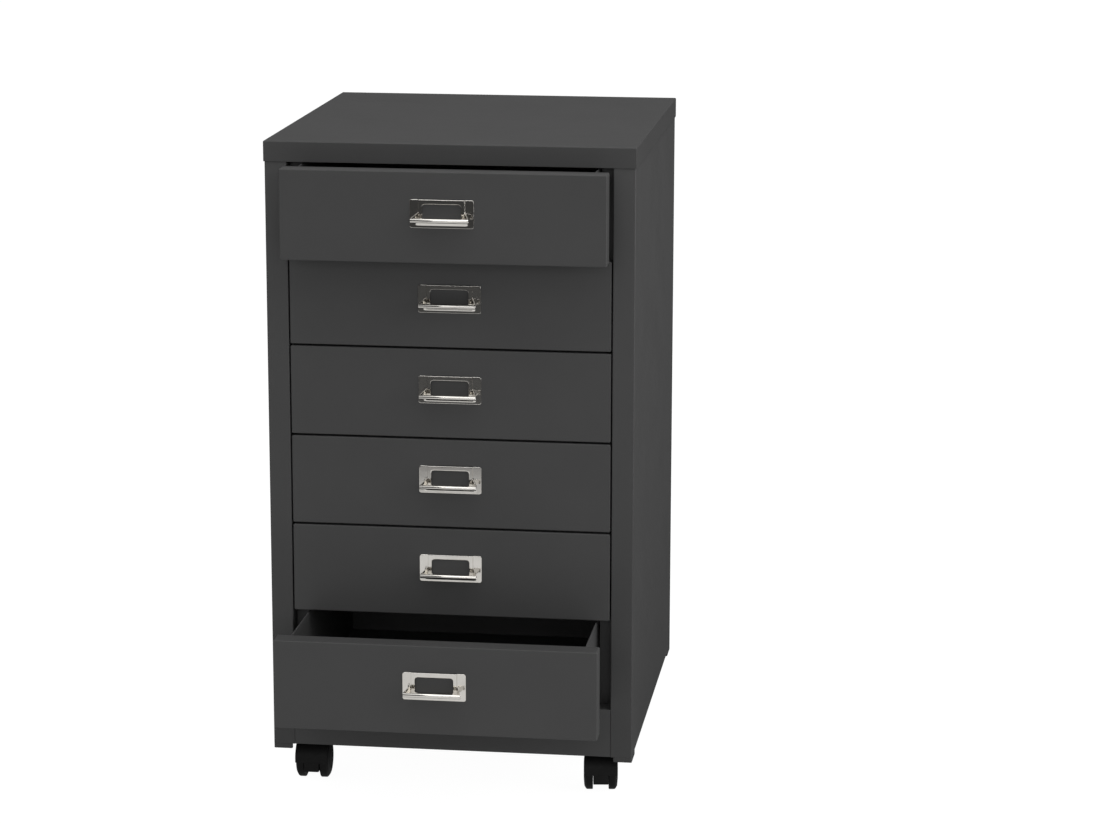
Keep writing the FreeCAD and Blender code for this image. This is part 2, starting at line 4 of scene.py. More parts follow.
import bpy
import numpy as np
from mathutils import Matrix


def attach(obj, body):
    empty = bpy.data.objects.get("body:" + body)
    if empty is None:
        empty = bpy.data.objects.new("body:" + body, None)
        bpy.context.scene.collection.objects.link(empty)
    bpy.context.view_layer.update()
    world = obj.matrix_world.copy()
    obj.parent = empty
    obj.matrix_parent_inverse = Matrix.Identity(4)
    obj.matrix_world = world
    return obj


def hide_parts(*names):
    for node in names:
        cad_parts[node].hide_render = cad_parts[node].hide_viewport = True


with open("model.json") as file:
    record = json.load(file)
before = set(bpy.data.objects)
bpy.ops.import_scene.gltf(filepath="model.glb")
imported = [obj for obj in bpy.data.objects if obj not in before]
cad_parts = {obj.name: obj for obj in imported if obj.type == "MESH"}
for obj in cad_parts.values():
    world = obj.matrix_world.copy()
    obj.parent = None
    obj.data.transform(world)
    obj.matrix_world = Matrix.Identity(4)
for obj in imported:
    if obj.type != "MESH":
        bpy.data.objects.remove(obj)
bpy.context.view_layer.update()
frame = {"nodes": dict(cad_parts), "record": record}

nodes = frame["nodes"]
behaviour = frame["record"]["behaviour"]
bodyOf = {node: body for body, members in behaviour["bodies"].items() for node in members}
slotOf = {part["node"]: part["material_slot"] for part in frame["record"]["subparts"]}
mm = 0.001
print("frame loaded:", len(nodes), "nodes")


# Hex colours are sRGB, and the shaders take them as linear light
def linear(hexColour):
    srgb = np.array([int(hexColour[i:i + 2], 16) / 255 for i in (1, 3, 5)])
    light = np.where(srgb <= 0.04045, srgb / 12.92, ((srgb + 0.055) / 1.055) ** 2.4)
    return (*light.tolist(), 1.0)


# A node with its settings, and its inputs set to values or linked to other outputs
def addNode(tree, kind, inputs=None, **settings):
    node = tree.nodes.new(kind)
    for name, value in settings.items():
        setattr(node, name, value)
    for name, value in (inputs or {}).items():
        if isinstance(value, bpy.types.NodeSocket):
            tree.links.new(value, node.inputs[name])
        else:
            node.inputs[name].default_value = value
    return node


def newMaterial(name):
    material = bpy.data.materials.new(name)
    material.use_nodes = True
    material.node_tree.nodes.clear()
    return material, material.node_tree


# Polyester powder coat, oven cured on folded steel: satin, with a low orange peel and a
# fine dry grain, so lights spread into soft patches and nothing mirrors
powder = {"colour": "#3a3a3a", "mottle": "#3f3f3f", "mottleSize": 60, "smooth": 0.5, "dry": 0.6,
          "ior": 1.5, "specular": 0.3, "peelSize": 2.0, "peelDepth": 0.010, "grainSize": 0.6,
          "grainDepth": 0.006}
powderCoat, tree = newMaterial("polyester powder coat on steel")
place = addNode(tree, "ShaderNodeTexCoord").outputs["Object"]
mottle = addNode(tree, "ShaderNodeTexNoise", {
    "Vector": place, "Scale": 1 / (powder["mottleSize"] * mm), "Detail": 5}).outputs["Fac"]
colour = addNode(tree, "ShaderNodeMix", {
    0: mottle, 6: linear(powder["colour"]), 7: linear(powder["mottle"])}, data_type="RGBA")
satin = addNode(tree, "ShaderNodeMapRange", {
    "Value": mottle, "To Min": powder["smooth"], "To Max": powder["dry"]})
peel = addNode(tree, "ShaderNodeTexNoise", {
    "Vector": place, "Scale": 1 / (powder["peelSize"] * mm)})
grain = addNode(tree, "ShaderNodeTexNoise", {
    "Vector": place, "Scale": 1 / (powder["grainSize"] * mm), "Detail": 3})
waved = addNode(tree, "ShaderNodeBump", {
    "Height": peel.outputs["Fac"], "Strength": 1, "Distance": powder["peelDepth"] * mm})
dried = addNode(tree, "ShaderNodeBump", {
    "Height": grain.outputs["Fac"], "Strength": 1, "Distance": powder["grainDepth"] * mm,
    "Normal": waved.outputs[0]})
shader = addNode(tree, "ShaderNodeBsdfPrincipled", {
    "Base Color": colour.outputs[2], "Roughness": satin.outputs[0], "IOR": powder["ior"],
    "Specular IOR Level": powder["specular"], "Normal": dried.outputs[0]})
addNode(tree, "ShaderNodeOutputMaterial", {"Surface": shader.outputs[0]})

# Bright nickel and chrome plate on pressed steel: a mirror with a faint wave from the press
# and hairlines from buffing, so it breaks reflections only a little
plate = {"colour": "#dedbd6", "worn": "#cfccc6", "wearSize": 14, "mirror": 0.07, "dull": 0.16,
         "waveSize": 9, "waveDepth": 0.012, "hairSize": 0.5, "hairLength": 9, "hairDepth": 0.0008}
brightPlate, tree = newMaterial("bright nickel chrome plate on pressed steel")
place = addNode(tree, "ShaderNodeTexCoord").outputs["Object"]
wear = addNode(tree, "ShaderNodeTexNoise", {
    "Vector": place, "Scale": 1 / (plate["wearSize"] * mm), "Detail": 5}).outputs["Fac"]
colour = addNode(tree, "ShaderNodeMix", {
    0: wear, 6: linear(plate["colour"]), 7: linear(plate["worn"])}, data_type="RGBA")
polish = addNode(tree, "ShaderNodeMapRange", {
    "Value": wear, "To Min": plate["mirror"], "To Max": plate["dull"]})
wave = addNode(tree, "ShaderNodeTexNoise", {
    "Vector": place, "Scale": 1 / (plate["waveSize"] * mm)})
buffed = addNode(tree, "ShaderNodeMapping", {
    "Vector": place, "Scale": (plate["hairSize"] / plate["hairLength"], 1, 1)})
hairs = addNode(tree, "ShaderNodeTexNoise", {
    "Vector": buffed.outputs[0], "Scale": 1 / (plate["hairSize"] * mm), "Detail": 3})
pressed = addNode(tree, "ShaderNodeBump", {
    "Height": wave.outputs["Fac"], "Strength": 1, "Distance": plate["waveDepth"] * mm})
lined = addNode(tree, "ShaderNodeBump", {
    "Height": hairs.outputs["Fac"], "Strength": 1, "Distance": plate["hairDepth"] * mm,
    "Normal": pressed.outputs[0]})
shader = addNode(tree, "ShaderNodeBsdfPrincipled", {
    "Base Color": colour.outputs[2], "Metallic": 1, "Roughness": polish.outputs[0],
    "Normal": lined.outputs[0]})
addNode(tree, "ShaderNodeOutputMaterial", {"Surface": shader.outputs[0]})

# Glass-filled black nylon, injection moulded against an etched tool: fine matt texture
nylon = {"colour": "#0d0d0d", "bloom": "#121212", "bloomSize": 12, "smooth": 0.5, "etched": 0.64,
         "ior": 1.53, "specular": 0.15, "etchSize": 0.5, "etchDepth": 0.010}
mouldedNylon, tree = newMaterial("moulded black nylon")
place = addNode(tree, "ShaderNodeTexCoord").outputs["Object"]
bloom = addNode(tree, "ShaderNodeTexNoise", {
    "Vector": place, "Scale": 1 / (nylon["bloomSize"] * mm), "Detail": 4}).outputs["Fac"]
colour = addNode(tree, "ShaderNodeMix", {
    0: bloom, 6: linear(nylon["colour"]), 7: linear(nylon["bloom"])}, data_type="RGBA")
matt = addNode(tree, "ShaderNodeMapRange", {
    "Value": bloom, "To Min": nylon["smooth"], "To Max": nylon["etched"]})
etch = addNode(tree, "ShaderNodeTexNoise", {
    "Vector": place, "Scale": 1 / (nylon["etchSize"] * mm), "Detail": 3})
etched = addNode(tree, "ShaderNodeBump", {
    "Height": etch.outputs["Fac"], "Strength": 1, "Distance": nylon["etchDepth"] * mm})
shader = addNode(tree, "ShaderNodeBsdfPrincipled", {
    "Base Color": colour.outputs[2], "Roughness": matt.outputs[0], "IOR": nylon["ior"],
    "Specular IOR Level": nylon["specular"], "Normal": etched.outputs[0]})
addNode(tree, "ShaderNodeOutputMaterial", {"Surface": shader.outputs[0]})

# Low-density polyethylene, moulded: waxy dark grey, softer than the castors
wax = {"colour": "#262626", "scuff": "#303030", "scuffSize": 5, "smooth": 0.45, "scuffed": 0.62,
       "ior": 1.51, "etchSize": 0.7, "etchDepth": 0.012}
polyethylene, tree = newMaterial("moulded dark grey polyethylene")
place = addNode(tree, "ShaderNodeTexCoord").outputs["Object"]
scuff = addNode(tree, "ShaderNodeTexNoise", {
    "Vector": place, "Scale": 1 / (wax["scuffSize"] * mm), "Detail": 5}).outputs["Fac"]
colour = addNode(tree, "ShaderNodeMix", {
    0: scuff, 6: linear(wax["colour"]), 7: linear(wax["scuff"])}, data_type="RGBA")
waxy = addNode(tree, "ShaderNodeMapRange", {
    "Value": scuff, "To Min": wax["smooth"], "To Max": wax["scuffed"]})
etch = addNode(tree, "ShaderNodeTexNoise", {
    "Vector": place, "Scale": 1 / (wax["etchSize"] * mm), "Detail": 3})
etched = addNode(tree, "ShaderNodeBump", {
    "Height": etch.outputs["Fac"], "Strength": 1, "Distance": wax["etchDepth"] * mm})
shader = addNode(tree, "ShaderNodeBsdfPrincipled", {
    "Base Color": colour.outputs[2], "Roughness": waxy.outputs[0], "IOR": wax["ior"],
    "Normal": etched.outputs[0]})
addNode(tree, "ShaderNodeOutputMaterial", {"Surface": shader.outputs[0]})

# Mild steel, bright zinc plated and passivated: cool grey with cloudy patches
zinc = {"colour": "#b4b8bb", "cloud": "#a2a39f", "cloudSize": 6, "bright": 0.26, "cloudy": 0.42,
        "toolSize": 0.6, "toolDepth": 0.002}
zincPlate, tree = newMaterial("bright zinc plate on mild steel")
place = addNode(tree, "ShaderNodeTexCoord").outputs["Object"]
cloud = addNode(tree, "ShaderNodeTexNoise", {
    "Vector": place, "Scale": 1 / (zinc["cloudSize"] * mm), "Detail": 5}).outputs["Fac"]
colour = addNode(tree, "ShaderNodeMix", {
    0: cloud, 6: linear(zinc["colour"]), 7: linear(zinc["cloud"])}, data_type="RGBA")
lustre = addNode(tree, "ShaderNodeMapRange", {
    "Value": cloud, "To Min": zinc["bright"], "To Max": zinc["cloudy"]})
marks = addNode(tree, "ShaderNodeTexNoise", {
    "Vector": place, "Scale": 1 / (zinc["toolSize"] * mm)})
tooled = addNode(tree, "ShaderNodeBump", {
    "Height": marks.outputs["Fac"], "Strength": 1, "Distance": zinc["toolDepth"] * mm})
shader = addNode(tree, "ShaderNodeBsdfPrincipled", {
    "Base Color": colour.outputs[2], "Metallic": 1, "Roughness": lustre.outputs[0],
    "Normal": tooled.outputs[0]})
addNode(tree, "ShaderNodeOutputMaterial", {"Surface": shader.outputs[0]})

finishes = {"powder_coated_steel": powderCoat, "nickel_plated_pull": brightPlate,
            "castor_plastic": mouldedNylon, "foot_plastic": polyethylene,
            "zinc_plated_steel": zincPlate}
for node, item in nodes.items():
    item.data.materials.clear()
    item.data.materials.append(finishes[slotOf[node]])
print("materials made:", len(finishes))


# A line through corners, each turned into an arc of its own radius. A short run kept
# beside every arc holds the flats flat under smooth shading
def softLine(corners, radii, closed=True, steps=5, run=0.3):
    corners = np.array(corners, float)
    radii = np.broadcast_to(radii, len(corners))
    line = []
    for index, (here, radius) in enumerate(zip(corners, radii)):
        if radius == 0 or (not closed and index in (0, len(corners) - 1)):
            line.append(here[None])
            continue
        back = corners[index - 1] - here
        ahead = corners[(index + 1) % len(corners)] - here
        back, ahead = back / np.linalg.norm(back), ahead / np.linalg.norm(ahead)
        half = np.arccos(np.clip(back @ ahead, -1, 1)) / 2
        reach, turn = radius / np.tan(half), np.pi - 2 * half
        middle = back + ahead
        centre = here + middle / np.linalg.norm(middle) * radius / np.sin(half)
        share = np.linspace(0, 1, steps + 1)[:, None]
        arc = (np.sin((1 - share) * turn) * (here + back * reach - centre)
               + np.sin(share * turn) * (here + ahead * reach - centre)) / np.sin(turn) + centre
        line += [(here + back * (reach + run))[None], arc, (here + ahead * (reach + run))[None]]
    return np.vstack(line)


# A rectangle with round corners as one closed line, always with the same count of points
def softRectangle(halfWide, halfTall, radius, steps=5, run=0.3):
    turn = np.linspace(0, np.pi / 2, steps + 1)
    arc = np.vstack([[radius, -run], radius * np.stack([np.cos(turn), np.sin(turn)], -1),
                     [-run, radius]])
    corners = []
    for across, up in ((1, 1), (-1, 1), (-1, -1), (1, -1)):
        turned = arc if across * up > 0 else arc[::-1]
        corners.append((turned + (halfWide - radius, halfTall - radius)) * (across, up))
    return np.vstack(corners)


# Quads between the rows and columns of a grid of points
def gridFaces(rows, columns, closeRows=False, closeColumns=True):
    row, column = np.meshgrid(np.arange(rows - (not closeRows)),
                              np.arange(columns - (not closeColumns)), indexing="ij")
    nextRow, nextColumn = (row + 1) % rows, (column + 1) % columns
    return np.stack([row * columns + column, nextRow * columns + column,
                     nextRow * columns + nextColumn, row * columns + nextColumn],
                    -1).reshape(-1, 4)


# Turns a closed skin the right way out: the volume that its faces enclose is made positive
def outwards(points, quads, ends=()):
    volume = 0
    for loops in [quads] + [end[None] for end in ends]:
        first, second, third = points[loops[:, :1]], points[loops[:, 1:-1]], points[loops[:, 2:]]
        volume += np.sum(first * np.cross(second, third))
    if volume < 0:
        quads, ends = quads[:, ::-1], [end[::-1] for end in ends]
    return points, quads, ends


# A skin over rings of points: quads between the rings, and a flat end on the first and last
def ringSkin(rings, closeRows=False):
    rows, columns = rings.shape[:2]
    points = rings.reshape(-1, 3)
    first = np.arange(columns)
    ends = [] if closeRows else [first, first[::-1] + (rows - 1) * columns]
    return outwards(points, gridFaces(rows, columns, closeRows), ends)


# An outline moved inwards along its own normals
def inset(outline, distance):
    along = np.roll(outline, -1, 0) - np.roll(outline, 1, 0)
    normal = np.stack([along[:, 1], -along[:, 0]], -1)
    normal /= np.linalg.norm(normal, axis=1)[:, None]
    after = np.roll(outline, -1, 0)
    area = np.sum(outline[:, 0] * after[:, 1] - outline[:, 1] * after[:, 0])
    return outline - normal * distance * np.sign(area)


# An outline carried along a straight run, with its two ends rounded over by 'soft'. Here and
# below 'order' gives the axis that each of the three columns becomes: x 0, y 1, z 2
def carry(outline, start, end, order, soft=0.0):
    if soft:
        steps = np.array([0, 0.3, 1]) * soft
        insets = soft * np.array([1, 0.29, 0])
        places = np.concatenate([start + steps, end - steps[::-1]])
        insets = np.concatenate([insets, insets[::-1]])
    else:
        places, insets = np.array([start, end]), (0, 0)
    rings = [np.column_stack([inset(outline, amount) if amount else outline,
                              np.full(len(outline), place)])
             for place, amount in zip(places, insets)]
    return ringSkin(np.array(rings)[:, :, np.argsort(order)])


# A profile of (inset, height) pairs carried round a soft rectangle: a folded pan or tray
def panSkin(profile, halfWide, halfDeep, corner, order, centre, sharpest=0.05):
    rings = []
    for inward, height in profile:
        ring = softRectangle(halfWide - inward, halfDeep - inward, max(corner - inward, sharpest))
        rings.append(np.column_stack([ring, np.full(len(ring), height)]))
    return ringSkin(np.array(rings)[:, :, np.argsort(order)] + centre)


# A profile of (along, radius) pairs turned about the first axis of 'order'
def turnSkin(profile, order, centre, count=72):
    turn = np.linspace(0, 2 * np.pi, count, endpoint=False)
    along, radius = np.array(profile).T
    rings = np.stack([np.repeat(along[:, None], count, 1), radius[:, None] * np.cos(turn),
                      radius[:, None] * np.sin(turn)], -1)
    return ringSkin(rings[:, :, np.argsort(order)] + centre)


# One object from several skins given in millimetres, smooth except where faces meet sharply
def addPiece(name, skins, standsFor, crease=38):
    points, faces, count = [], [], 0
    for skinPoints, quads, ends in skins:
        points.append(skinPoints)
        faces += (quads + count).tolist() + [(end + count).tolist() for end in ends]
        count += len(skinPoints)
    mesh = bpy.data.meshes.new(name)
    mesh.from_pydata((np.vstack(points) * mm).tolist(), [], faces)
    mesh.shade_smooth()
    mesh.set_sharp_from_angle(angle=math.radians(crease))
    mesh.materials.append(finishes[slotOf[standsFor]])
    piece = bpy.data.objects.new(name, mesh)
    bpy.context.scene.collection.objects.link(piece)
    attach(piece, bodyOf[standsFor])
    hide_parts(standsFor)


# Where the CAD stands its pieces, in millimetres. The top drawer and the lowest rest open
cabinet = {"front": -143.0, "halfWide": 184.0, "depth": 408.0, "bottom": 43.0, "top": 662.2,
           "sheet": 0.8, "cutEdge": 0.15, "opening": 162.0}
drawers = {"count": 6, "lowest": 94.0, "pitch": 91.6, "open": {1: 44.0, 6: 105.0}}


# A drawer's face and lower edge. Row 1 is the top one
def drawerPlace(row):
    out = drawers["open"].get(row, 0.0)
    return cabinet["front"] - out, drawers["lowest"] + drawers["pitch"] * (drawers["count"] - row)


# Lid: a shallow folded pan, upside down. A pan's flat faces start 'rim' inside its edge
lid = {"halfWide": 185.0, "halfDeep": 205.0, "centreY": 61.0, "top": 663.0, "skirt": 20.4,
       "bend": 1.2, "corner": 0.9}
sheet, cut, rim = cabinet["sheet"], cabinet["cutEdge"], 6
profile = softLine([(rim, 0), (0, 0), (0, -lid["skirt"]), (sheet, -lid["skirt"]),
                    (sheet, -sheet), (rim, -sheet)],
                   [0, lid["bend"], 0.2, 0.2, 0.3, 0], closed=False)
addPiece("lid", [panSkin(profile, lid["halfWide"], lid["halfDeep"], lid["corner"], (0, 1, 2),
                         (0, lid["centreY"], lid["top"]))], "top_cap")

# Sides: one sheet each, folded into stop flange, jamb, post, wall and rear return
side = {"stopTip": 148.6, "jamb": 20.4, "return": 22.0}
jamb, outside, tip = cabinet["opening"], cabinet["halfWide"], side["stopTip"]
deep, inner = cabinet["depth"], side["jamb"]
fold = [(tip, inner), (jamb, inner), (jamb, 0), (outside, 0), (outside, deep),
        (outside - side["return"], deep), (outside - side["return"], deep - sheet),
        (outside - sheet, deep - sheet), (outside - sheet, sheet), (jamb + sheet, sheet),
        (jamb + sheet, inner + sheet), (tip, inner + sheet)]
sideLine = softLine(fold, [cut, 0.3, 1, 1.2, 1.2, cut, cut, 0.4, 0.4, 0.3, 1, cut])
for sign, name in ((-1, "left"), (1, "right")):
    outline = sideLine * (sign, 1) + (0, cabinet["front"])
    addPiece(name + "_side", [carry(outline, cabinet["bottom"], cabinet["top"], (0, 1, 2), cut)],
             name + "_side_panel")

# Rail under the lowest drawer
rail = {"height": 50.0, "foot": 14.0, "deep": 20.4}
fold = [(0, 0), (rail["foot"], 0), (rail["foot"], sheet), (sheet, sheet),
        (sheet, rail["height"] - sheet), (rail["deep"], rail["height"] - sheet),
        (rail["deep"], rail["height"]), (0, rail["height"])]
outline = softLine(fold, [1, cut, cut, 0.3, 0.3, cut, cut, 1.2])
outline += (cabinet["front"], cabinet["bottom"])
addPiece("front_rail", [carry(outline, -jamb, jamb, (1, 2, 0))], "bottom_front_rail")

# Runners: ledge under the tray, low guide beside it, flange on the side, and a stop ear
runner = {"sheet": 1.0, "tip": 137.5, "guide": 148.0, "guideHeight": 3.0, "flange": 12.0,
          "front": 21.2, "back": 406.4, "ear": 9.0, "earDrop": 4.5, "earBack": 84.9, "lift": 2.7}
thick, wallSide = runner["sheet"], cabinet["halfWide"] - sheet
tip, guide, guideTop = runner["tip"], runner["guide"], runner["guideHeight"]
fold = [(tip, 0), (guide, 0), (guide, guideTop), (guide + thick, guideTop), (guide + thick, 0),
        (wallSide, 0), (wallSide, -runner["flange"]), (wallSide - thick, -runner["flange"]),
        (wallSide - thick, -thick), (tip, -thick)]
angleLine = softLine(fold, [cut, 0.2, cut, cut, 0.2, 0.8, cut, cut, 0.2, cut], steps=3,
                     run=0.15)
earTip, earDrop = tip - runner["ear"], -runner["earDrop"]
earLine = softLine([(earTip, earDrop), (tip + thick, earDrop), (tip + thick, 0), (earTip, 0)],
                   [2, 0.2, 0.2, 0.6], steps=4)
begin, end = cabinet["front"] + runner["front"], cabinet["front"] + runner["back"]
earBack = runner["earBack"] + cabinet["front"]
for row in range(1, drawers["count"] + 1):
    low = drawerPlace(row)[1] + runner["lift"]
    for sign, name in ((-1, "left"), (1, "right")):
        addPiece("%s_runner_angle_%d" % (name, row), [
            carry(angleLine * (sign, 1) + (0, low), begin, end, (0, 2, 1)),
            carry(earLine * (sign, 1) + (0, low), earBack, earBack + thick, (0, 2, 1), cut)],
            "%s_runner_%d" % (name, row))
print("carcass made")

# Drawer front: a folded pan, open behind, with two returns that lap the tray. The returns
# stay a hair inside the pan's own faces
front = {"halfWide": 160.7, "height": 89.6, "deep": 20.0, "bend": 1.1, "corner": 1.6,
         "lap": 137.5, "lapInside": 0.1, "lapBehind": 0.01}
frontProfile = softLine([(rim, 0), (0, 0), (0, front["deep"]), (sheet, front["deep"]),
                         (sheet, sheet), (rim, sheet)],
                        [0, front["bend"], 0.2, 0.2, 0.3, 0], closed=False)
tuck, behind = front["halfWide"] - front["lapInside"], front["deep"] - front["lapBehind"]
returns = softLine([(front["lap"], front["deep"] - sheet), (tuck, front["deep"] - sheet),
                    (tuck, behind), (front["lap"], behind)], cut, steps=3, run=0.1)

# Tray: floor, walls with a folded hem, and two stop tabs under the rear edge
tray = {"halfWide": 147.5, "deep": 322.0, "height": 85.6, "lift": 3.0, "hem": 6.0, "bend": 1.2,
        "corner": 1.5, "tabFrom": 130.0, "tabTo": 136.0, "tabDrop": 4.0, "tabBehind": 0.02}
hemLow = tray["height"] - tray["hem"]
trayProfile = softLine([(rim, 0), (0, 0), (0, tray["height"]), (2 * sheet, tray["height"]),
                        (2 * sheet, hemLow), (sheet, hemLow), (sheet, sheet), (rim, sheet)],
                       [0, tray["bend"], 0.65, 0.65, cut, 0.1, 0.5, 0], closed=False, run=0.1)
tab = softLine([(tray["tabFrom"], -tray["tabDrop"]), (tray["tabTo"], -tray["tabDrop"]),
                (tray["tabTo"], sheet / 2), (tray["tabFrom"], sheet / 2)], [1, 1, 0, 0])
for row in range(1, drawers["count"] + 1):
    face, low = drawerPlace(row)
    high = low + front["height"]
    pan = panSkin(frontProfile, front["halfWide"], front["height"] / 2, front["corner"],
                  (0, 2, 1), (0, face, low + front["height"] / 2))
    laps = [carry(returns * (sign, 1) + (0, face), low + sheet, high - sheet, (0, 1, 2))
            for sign in (-1, 1)]
    addPiece("drawer_%d_front_pan" % row, [pan] + laps, "drawer_%d_front" % row)
    begin, base = face + front["deep"], low + tray["lift"]
    end = begin + tray["deep"]
    box = panSkin(trayProfile, tray["halfWide"], tray["deep"] / 2, tray["corner"], (0, 1, 2),
                  (0, begin + tray["deep"] / 2, base))
    tabs = [carry(tab * (sign, 1) + (0, base), end - sheet, end - tray["tabBehind"], (0, 2, 1))
            for sign in (-1, 1)]
    addPiece("drawer_%d_tray_box" % row, [box] + tabs, "drawer_%d_tray" % row)
print("drawers made")

# Label pull, pressed from one sheet, with the drawer's face at y = 0. Its plate is a height
# over a grid of x and z: the sheet, raised over the card pocket, with ramps at the pocket's
# sides and foot
pull = {"halfWide": 31.5, "halfTall": 14.0, "corner": 2.2, "sheet": 0.8, "lift": 4.0,
        "offFace": 0.02, "edge": 0.45, "crease": 32,
        "pocket": 23.0, "raise": 1.2, "ramp": 0.5, "flare": 3.6, "flareTop": 1.5,
        "flareFall": 8.0, "footLow": -11.6, "footHigh": -8.8,
        "windowHalf": 19.0, "windowLow": -6.5, "windowHigh": 9.5, "windowCorner": 3.0,
        "scoopRoot": 23.4, "scoopTip": 28.3, "scoopFrom": -0.6, "root": -8.0, "climb": 3.5,
        "wing": 1.3, "bead": 2.2, "beadOut": -15.8, "curl": 0.8, "rollFrom": 95, "rollTo": -215,
        "rollEdge": 0.2, "tab": 26.7, "tabFrom": -0.3, "tabBehind": 0.9, "tabFoot": 4.8,
        "tabHalf": 4.0, "tabEdge": 0.12}


# Positions that run through the given breaks, with so many steps between each pair
def ticks(breaks, steps):
    runs = [np.linspace(low, high, count, endpoint=False)
            for low, high, count in zip(breaks[:-1], breaks[1:], steps)]
    return np.append(np.concatenate(runs), breaks[-1])


# Rises smoothly from 0 to 1
def smooth(share):
    share = np.clip(share, 0, 1)
    return share * share * (3 - 2 * share)


# Moves a grid's square corner onto an arc: a point at square distance s from the arc's
# centre goes to round distance s, fading out beyond 'fade' radii
def roundCorner(x, z, middle, halfWide, halfTall, radius, fade):
    across, up = x, z - middle
    u = (np.abs(across) - halfWide + radius) / radius
    v = (np.abs(up) - halfTall + radius) / radius
    reach = np.maximum(np.maximum(u, v), 1e-9)
    weight = np.where((u > 0) & (v > 0), 1 - smooth((reach - 1.1) / (fade - 1.1)), 0)
    roundU = u * np.sqrt(np.clip(1 - (v / reach) ** 2 / 2, 0, 1))
    roundV = v * np.sqrt(np.clip(1 - (u / reach) ** 2 / 2, 0, 1))
    return (x + np.sign(across) * (roundU - u) * weight * radius,
            z + np.sign(up) * (roundV - v) * weight * radius)


# How far the pocket stands out at each point, from 0 to 1
def pocketShare(x, z):
    outer = pull["pocket"] + pull["flare"] * smooth((pull["flareTop"] - z) / pull["flareFall"])
    inner = pull["pocket"] - pull["ramp"]
    side = smooth((outer - np.abs(x)) / (outer - inner))
    return side * smooth((z - pull["footLow"]) / (pull["footHigh"] - pull["footLow"]))


# What a rounded edge takes off the face at each distance from that edge
def rollOff(distance, radius):
    left = np.clip(radius - distance, 0, radius)
    return radius - np.sqrt(radius ** 2 - left ** 2)


# Plate with its window: a front and a back over one grid. The grid's lines stand on every
# edge, and the plain numbers among the breaks only spread it evenly
def pullPlate():
    half, tall, edge, window = pull["halfWide"], pull["halfTall"], pull["edge"], pull["windowHalf"]
    low, high, pocket = pull["windowLow"], pull["windowHigh"], pull["pocket"]
    right = ticks([0, 15, window, window + edge, pocket - pull["ramp"], pocket,
                   pocket + pull["flare"], 29, half - edge, half], [4, 8, 3, 4, 8, 8, 3, 4, 5])
    x = np.concatenate([-right[:0:-1], right])
    z = ticks([-tall, edge - tall, -12, pull["footLow"], pull["footHigh"], low - edge, low, -3, 6,
               high, high + edge, 12, tall - edge, tall], [5, 3, 1, 10, 5, 3, 8, 6, 8, 3, 4, 3, 5])
    x, z = np.meshgrid(x, z, indexing="ij")
    middle, halfHigh = (low + high) / 2, (high - low) / 2
    rim = np.minimum(half - np.abs(x), tall - np.abs(z))
    lip = np.maximum(np.abs(x) - window, np.abs(z - middle) - halfHigh)
    hole = lip < -1e-6
    x, z = roundCorner(x, z, middle, window, halfHigh, pull["windowCorner"], fade=1.7)
    x, z = roundCorner(x, z, 0, half, tall, pull["corner"], fade=1.2)
    rolled = rollOff(rim, edge) + rollOff(np.maximum(lip, 0), edge)
    face = -pull["sheet"] - pull["raise"] * pocketShare(x, z) + rolled
    back = -pull["raise"] * pocketShare(np.abs(x) + pull["sheet"], z - pull["sheet"])
    back = back - pull["offFace"]
    rows, columns = x.shape
    points = np.concatenate([np.stack([x, depth, z], -1).reshape(-1, 3) for depth in (face, back)])
    quads = gridFaces(rows, columns, closeColumns=False)
    quads = quads[~hole.reshape(-1)[quads].any(1)]
    # walls stand on every edge that only one quad of the face has
    edges = np.concatenate([quads[:, [k, (k + 1) % 4]] for k in range(4)])
    key = np.sort(edges, 1) @ np.array([rows * columns, 1])
    first, count = np.unique(key, return_index=True, return_counts=True)[1:]
    border = edges[first[count == 1]]
    behind = border + rows * columns
    walls = np.column_stack([border[:, ::-1], behind])
    faces = np.concatenate([quads, quads[:, ::-1] + rows * columns, walls])
    used, again = np.unique(faces, return_inverse=True)
    return outwards(points[used], again.reshape(-1, 4))


# Scoop: a trough whose floor climbs and widens from the plate to the bead
def pullScoop():
    skin, rings = pull["sheet"], []
    for share in np.linspace(0, 1, 13):
        half = pull["scoopRoot"] + (pull["scoopTip"] - pull["scoopRoot"]) * share
        floor = pull["root"] + pull["climb"] * share
        tip = pull["wing"] + (pull["root"] + pull["climb"] + pull["bead"] - pull["wing"]) * share
        section = softLine(
            [(half, tip), (half, floor - skin), (-half, floor - skin), (-half, tip),
             (skin - half, tip), (skin - half, floor), (half - skin, floor), (half - skin, tip)],
            [0.25, 2, 2, 0.25, 0.25, 1.2, 1.2, 0.25], run=0.1)
        out = pull["scoopFrom"] + (pull["beadOut"] - pull["scoopFrom"]) * share
        rings.append(np.column_stack([section[:, 0], np.full(len(section), out), section[:, 1]]))
    return ringSkin(np.array(rings))


# Rolled lip: the sheet curls over in an open roll that starts from the scoop's floor
def pullBead():
    radius, inner = pull["bead"], pull["bead"] - pull["curl"]
    turn = np.radians(np.linspace(pull["rollFrom"], pull["rollTo"], 45))
    outer = np.stack([np.cos(turn), np.sin(turn)], -1)
    section = np.vstack([outer * radius, outer[::-1] * inner])
    section = section * (-1, 1) + (pull["beadOut"], pull["root"] + pull["climb"])
    return carry(section, -pull["scoopTip"], pull["scoopTip"], (1, 2, 0), pull["rollEdge"])


